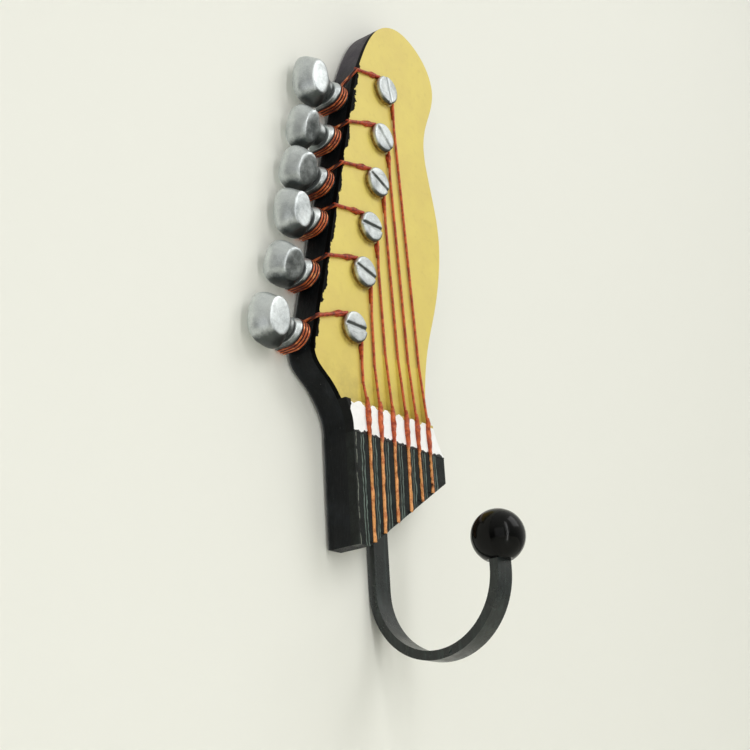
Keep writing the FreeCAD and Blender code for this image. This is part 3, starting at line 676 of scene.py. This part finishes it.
class COATHOOK_OT_pegs(bpy.types.Operator):
    """Paint the pegs, their collars and the string posts"""
    bl_idname = "coathook.pegs"
    bl_label = "Paint the pegs and posts"

    def execute(self, context):
        silver = silver_pegs()
        worn = silver_posts()
        steel = ground_steel()
        for k in STRINGS:
            passes = BUTTON_PASSES[k - 1]
            cast_copy(f"peg_button_{k}", f"peg_{k}", f"cast_button_{k}", silver, BUTTON_VOXEL, passes)
            cast_copy(f"peg_collar_{k}", BODY, f"cast_collar_{k}", silver, COLLAR_VOXEL, COLLAR_PASSES)
            cast_copy(f"string_post_{k}", BODY, f"cast_post_{k}", worn, POST_VOXEL, POST_PASSES)
            paint_node(f"peg_shaft_{k}", steel)
        paint_node("peg_retaining_pins", steel)
        return {"FINISHED"}


class COATHOOK_OT_strings(bpy.types.Operator):
    """Paint the strings and lay the thick strokes over the nut and down the fretboard"""
    bl_idname = "coathook.strings"
    bl_label = "Lay the strings"

    def execute(self, context):
        nut_stroke = paint().nut_stroke
        material = string_paint()
        for k in STRINGS:
            paint_node(f"string_{k}", material)
            _, nut, low = string_ends(k)
            foot = point_between(nut, low, (nut.z - FOOT_OF_NUT) / (nut.z - low.z))
            over_nut = []
            for step in range(NUT_STEPS + 1):
                share = step / NUT_STEPS
                centre = point_between(nut, foot, share)
                centre.x += wander(k, step, 0.25 * MM)
                centre.y = nut.y
                width = nut_stroke * (0.55 + 0.45 * math.sin(math.pi * min(1.0, 0.15 + share)))
                over_nut.append((centre, width + wander(k, step, 0.2 * MM), STROKE_RISE))
            tip = (over_nut[0][0] + Vector((0, 0, 2.5 * MM)), 0.5 * MM, 0.6 * MM)
            down_board = []
            for step in range(1, BOARD_STEPS + 1):
                centre = point_between(foot, low, step / BOARD_STEPS)
                centre.x += wander(k + 3, step * 0.7, 0.3 * MM)
                down_board.append((centre, 0.6 * MM + wander(k, step, 0.12 * MM), LINE_RISE))
            finish_piece(swept([tip, *over_nut, *down_board]), f"string_paint_{k}", material)
        return {"FINISHED"}


class COATHOOK_OT_leads(bpy.types.Operator):
    """Paint the wire windings and lay the thick painted leads over the face"""
    bl_idname = "coathook.leads"
    bl_label = "Lay the leads"

    def execute(self, context):
        stroke = paint().stroke
        blob = paint().blob
        wire = winding_paint()
        dark = lead_paint()
        for k in STRINGS:
            paint_node(f"string_lead_{k}", wire)
            points = node_points(f"string_lead_{k}")
            post = post_centre(k)
            front = [p for p in points if p.y < FACE_FRONT + 0.2 * MM]
            near = min(front, key=lambda p: (p - post).length)
            far = max(front, key=lambda p: (p - post).length)
            stations = []
            for step in range(LEAD_STEPS + 1):
                share = step / LEAD_STEPS
                centre = point_between(far, near, share)
                centre.x += wander(k, step, 0.12 * MM)
                centre.z += wander(k + 1, step, 0.2 * MM)
                centre.y = FACE_FRONT - 0.45 * MM
                swell = math.exp(-((share - 0.72) / 0.14) ** 2)
                width = stroke * 1.15 + (blob - stroke) * swell + wander(k, step, 0.12 * MM)
                stations.append((centre, width, LEAD_RISE + 0.35 * MM * swell))
            finish_piece(swept(stations), f"lead_paint_{k}", dark)
        return {"FINISHED"}


class COATHOOK_OT_blobs(bpy.types.Operator):
    """Add the blobs of paint where a string leaves its post"""
    bl_idname = "coathook.blobs"
    bl_label = "Add the blobs of paint"

    def execute(self, context):
        blob = paint().blob
        dark = bpy.data.materials["Copper_paint_leads"]
        for k in STRINGS:
            top, nut, _ = string_ends(k)
            way = (nut - top).normalized()
            size = blob * BLOB_SHARES[k - 1]
            stations = []
            for length, share in BLOB_SHAPE:
                centre = top + way * (BLOB_START + length * MM)
                centre.y = (top.y + FACE_FRONT) / 2 - 0.1 * MM
                width = max(size * share, LEAST_BLOB)
                stations.append((centre, width, BLOB_RISE * (0.5 + share / 2)))
            finish_piece(swept(stations), f"string_blob_{k}", dark)
        return {"FINISHED"}


class COATHOOK_OT_ribs(bpy.types.Operator):
    """Raise the ribs of the fretboard under the strings"""
    bl_idname = "coathook.ribs"
    bl_label = "Raise the ribs"

    def execute(self, context):
        rib = paint().rib
        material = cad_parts["fretboard"].data.materials[0]
        # The board's lower end is cut off on a slant, along the strings' ends.
        slant = string_ends(1)[2] - string_ends(6)[2]
        slant.y = 0
        downward = slant.cross(Vector((0, 1, 0))).normalized()
        if downward.z > 0:
            downward.negate()
        for k in STRINGS:
            _, nut, low = string_ends(k)
            way = (low - nut).normalized()
            begin = point_between(nut, low, (nut.z - FOOT_OF_NUT) / (nut.z - low.z))
            run = (low - begin).length
            stations = []
            for step in range(RIB_STEPS + 1):
                centre = begin + way * run * step / RIB_STEPS
                centre.x += wander(k, step * 0.14, 0.15 * MM)
                centre.y = BOARD_LOW.y + 0.3 * MM
                stations.append((centre, rib + wander(k, step * 0.12, 0.1 * MM), RIB_RISE))
            mesh = swept(stations, RIB_SIDES)
            cut = low - Vector((0, 0, 0.2 * MM))
            bmesh.ops.bisect_plane(mesh, geom=mesh.verts[:] + mesh.edges[:] + mesh.faces[:],
                                   plane_co=cut, plane_no=downward, clear_outer=True)
            loose = [e for e in mesh.edges if e.is_boundary]
            if loose:
                bmesh.ops.holes_fill(mesh, edges=loose)
            bmesh.ops.recalc_face_normals(mesh, faces=mesh.faces)
            finish_piece(mesh, f"fretboard_rib_{k}", material, smooth=False)
        return {"FINISHED"}


class COATHOOK_OT_hook(bpy.types.Operator):
    """Paint the hook, its ball, the hanger plate and the screws"""
    bl_idname = "coathook.hook"
    bl_label = "Paint the hook and hanger"

    def execute(self, context):
        paint_node("hook_strap", black_enamel())
        paint_node("hook_ball", gloss_ball())
        zinc = zinc_plate()
        for name in ("hook_screws", "hanger_plate", "hanger_screws"):
            paint_node(name, zinc)
        return {"FINISHED"}


# The stage, in metres.
STAGE_HALF = 1.6           # half side of the wall and of the floor
WALL_PLACE = (0, 0.4 * MM, 0.9)
FLOOR_PLACE = (0, -1.2, -0.7)
CLOSE_BEHIND = 3 * MM      # rays shorter than this pass through the wall
LIGHTS_AIM = Vector((0, -0.01, -0.06))
ROOM_UP = (0.3, 0.15, 0.94)   # way in which the room gets brighter
ROOM_BEHIND = (0, 1, 0)
ROOM_SEEN = 0.8            # strength of the room where the camera sees it
CAMERA_LENS = 67.73        # millimetres, as is the sensor's width
SENSOR_WIDTH = 36.0
CAMERA_PLACE = Vector((-0.4199, -0.3298, -0.2709))
CAMERA_AHEAD = Vector((0.7461, 0.5763, 0.3334))
CAMERA_UP = Vector((-0.2279, -0.2494, 0.9412))


def area_light(name, place, watts, width, height):
    """Soft lamp that points at the coat hook."""
    data = bpy.data.lights.new(name, "AREA")
    data.energy = watts
    data.shape = "RECTANGLE"
    data.size = width
    data.size_y = height
    light = bpy.data.objects.new(name, data)
    bpy.context.scene.collection.objects.link(light)
    light.location = place
    light.rotation_euler = (LIGHTS_AIM - light.location).to_track_quat("-Z", "Y").to_euler()


def stage_piece(name, mesh, material):
    data = bpy.data.meshes.new(name)
    mesh.to_mesh(data)
    mesh.free()
    data.materials.append(material)
    piece = bpy.data.objects.new(name, data)
    bpy.context.scene.collection.objects.link(piece)


def wall_paint(colour):
    # Matt wall paint. Its back is clear, and it lets through rays that start close
    # behind it, so the object's back is seen and lit.
    material, tree, place = start("Matt_wall_paint")
    matt = add(tree, "BsdfPrincipled", {"Base Color": colour, "Roughness": 0.9,
                                        "Normal": brush_marks(tree, place, 3.0, 0.05)})
    back = add(tree, "NewGeometry").outputs["Backfacing"]
    reach = add(tree, "LightPath").outputs["Ray Length"]
    close = add(tree, "Math", {0: reach, 1: CLOSE_BEHIND}, operation="LESS_THAN")
    clear = add(tree, "Math", {0: back, 1: close}, operation="MAXIMUM")
    both = add(tree, "MixShader", {0: clear, 1: matt, 2: add(tree, "BsdfTransparent")})
    add(tree, "OutputMaterial", {"Surface": both})
    return material


def light_room(world):
    # Soft room light: bright from above and behind the wall, dim from below. The
    # room itself looks evenly pale.
    world.use_nodes = True
    tree = world.node_tree
    tree.nodes.clear()
    way = add(tree, "TexCoord").outputs["Generated"]
    height = add(tree, "VectorMath", {0: way, 1: ROOM_UP}, operation="DOT_PRODUCT")
    strength = add(tree, "MapRange", {0: height, 1: -0.6, 2: 0.7, 3: 0.07, 4: 0.8}, **SMOOTH)
    behind = add(tree, "VectorMath", {0: way, 1: ROOM_BEHIND}, operation="DOT_PRODUCT")
    lift = add(tree, "MapRange", {0: behind, 1: 0.0, 2: 0.6, 3: 0.0, 4: 0.7}, **SMOOTH)
    lit = add(tree, "Math", {0: strength, 1: lift}, operation="ADD")
    seen = add(tree, "LightPath").outputs["Is Camera Ray"]
    shown = add(tree, "Mix", {0: seen, 1: lit, 2: ROOM_SEEN})
    pale = add(tree, "Background", {"Color": "f7f7f0", "Strength": shown})
    add(tree, "OutputWorld", {"Surface": pale})


def set_camera(scene):
    data = bpy.data.cameras.new("camera")
    data.lens = CAMERA_LENS
    data.sensor_width = SENSOR_WIDTH
    data.clip_start = 0.01
    camera = bpy.data.objects.new("camera", data)
    scene.collection.objects.link(camera)
    forward = CAMERA_AHEAD.normalized()
    right = forward.cross(CAMERA_UP).normalized()
    up = right.cross(forward).normalized()
    turn = Matrix((right, up, -forward)).transposed().to_4x4()
    turn.translation = CAMERA_PLACE
    camera.matrix_world = turn
    scene.camera = camera


class COATHOOK_OT_stage(bpy.types.Operator):
    """Set up the pale wall and floor, the soft lights and the camera"""
    bl_idname = "coathook.stage"
    bl_label = "Set up the stage"

    def execute(self, context):
        stage = context.scene.coathook_stage
        material = wall_paint(stage.wall)
        wall = bmesh.new()
        bmesh.ops.create_grid(wall, x_segments=1, y_segments=1, size=STAGE_HALF)
        bmesh.ops.rotate(wall, verts=wall.verts, matrix=Matrix.Rotation(math.radians(90), 3, "X"))
        bmesh.ops.translate(wall, verts=wall.verts, vec=WALL_PLACE)
        floor = bmesh.new()
        bmesh.ops.create_grid(floor, x_segments=1, y_segments=1, size=STAGE_HALF)
        bmesh.ops.translate(floor, verts=floor.verts, vec=FLOOR_PLACE)
        stage_piece("stage_wall", wall, material)
        stage_piece("stage_floor", floor, material)
        area_light("key", (0.45, -0.75, 0.55), stage.key, 0.6, 0.6)
        area_light("fill", (-0.75, -0.7, -0.1), stage.fill, 0.7, 0.7)
        area_light("strip", (-0.26, -0.95, 0.0), stage.strip, 0.08, 1.4)
        world = bpy.data.worlds.new("Pale_studio")
        context.scene.world = world
        light_room(world)
        context.scene.view_settings.view_transform = "Standard"
        set_camera(context.scene)
        return {"FINISHED"}


class COATHOOK_PT_panel(bpy.types.Panel):
    """Shows the paint and stage settings and the buttons for each step"""
    bl_idname = "COATHOOK_PT_panel"
    bl_label = "Coat Hook"
    bl_space_type = "VIEW_3D"
    bl_region_type = "UI"
    bl_category = "Coat Hook"

    def draw(self, context):
        for settings in (context.scene.coathook_paint, context.scene.coathook_stage):
            for name in settings.__annotations__:
                self.layout.prop(settings, name)
        for operator in OPERATORS:
            self.layout.operator(operator.bl_idname)


OPERATORS = (COATHOOK_OT_casting, COATHOOK_OT_pegs, COATHOOK_OT_strings, COATHOOK_OT_leads,
             COATHOOK_OT_blobs, COATHOOK_OT_ribs, COATHOOK_OT_hook, COATHOOK_OT_stage)
CLASSES = (PaintSettings, StageSettings, *OPERATORS, COATHOOK_PT_panel)


def register():
    for cls in CLASSES:
        bpy.utils.register_class(cls)
    bpy.types.Scene.coathook_paint = PointerProperty(type=PaintSettings)
    bpy.types.Scene.coathook_stage = PointerProperty(type=StageSettings)


def unregister():
    del bpy.types.Scene.coathook_stage
    del bpy.types.Scene.coathook_paint
    for cls in reversed(CLASSES):
        bpy.utils.unregister_class(cls)


def main():
    register()
    bpy.ops.coathook.casting()
    bpy.ops.coathook.pegs()
    bpy.ops.coathook.strings()
    bpy.ops.coathook.leads()
    bpy.ops.coathook.blobs()
    bpy.ops.coathook.ribs()
    bpy.ops.coathook.hook()
    bpy.ops.coathook.stage()


if __name__ == "__main__":
    main()
